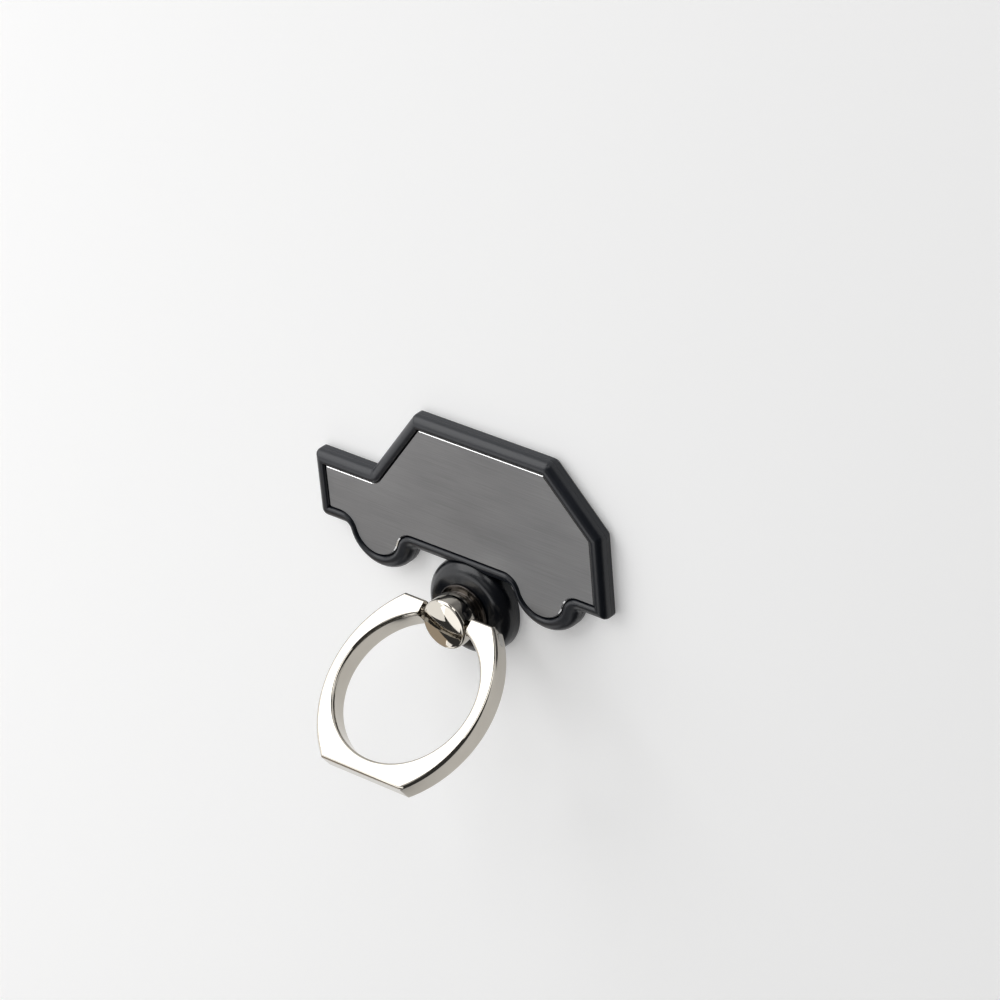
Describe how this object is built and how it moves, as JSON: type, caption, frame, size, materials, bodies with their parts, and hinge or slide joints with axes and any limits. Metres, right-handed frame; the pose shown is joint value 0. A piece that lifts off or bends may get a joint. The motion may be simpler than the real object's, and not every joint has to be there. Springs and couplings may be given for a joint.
{
  "type": "phone holder",
  "caption": "Stick-on finger ring and stand for a phone: a low car-shaped body with a framed brushed plate, and a tilting ring on a swivelling post.",
  "frame": {"origin": "on the swivel axis, in the adhesive back face", "axes": "+X along the car shape towards its rear, +Y up to its roof, +Z out of the phone along the swivel axis"},
  "size_m": [0.0519, 0.0445, 0.0275],
  "materials": {
    "foam": "matt closed-cell foam with adhesive",
    "black_plastic": "satin black",
    "tape": "double-sided tape",
    "brushed_plate": "brushed gunmetal grey with a bright bevel",
    "boss_plastic": "semi-gloss black",
    "nylon": "natural nylon",
    "spring_steel": "spring steel",
    "steel": "plain steel",
    "chrome": "polished nickel-chrome plate",
    "pin_steel": "ground steel"
  },
  "bodies": {
    "holder": {"adhesive_pad": "foam", "base_plate": "black_plastic", "casing": "black_plastic", "face_tape": "tape", "face_plate": "brushed_plate", "swivel_boss": "boss_plastic", "friction_washer": "nylon"},
    "swivel": {"swivel_post": "chrome", "retaining_washer": "steel", "spring_washer": "spring_steel"},
    "finger_ring": {"ring": "chrome", "hinge_pin": "pin_steel"}
  },
  "joints": [
    {"name": "swivel_turn", "type": "hinge", "parent": "holder", "child": "swivel", "pos_m": [0, 0, 0], "axis": [0, 0, 1], "continuous": true},
    {"name": "ring_fold", "type": "hinge", "parent": "swivel", "child": "finger_ring", "pos_m": [0, 0, 0.00685], "axis": [-1, 0, 0], "range_deg": [-52, 128]}
  ]
}
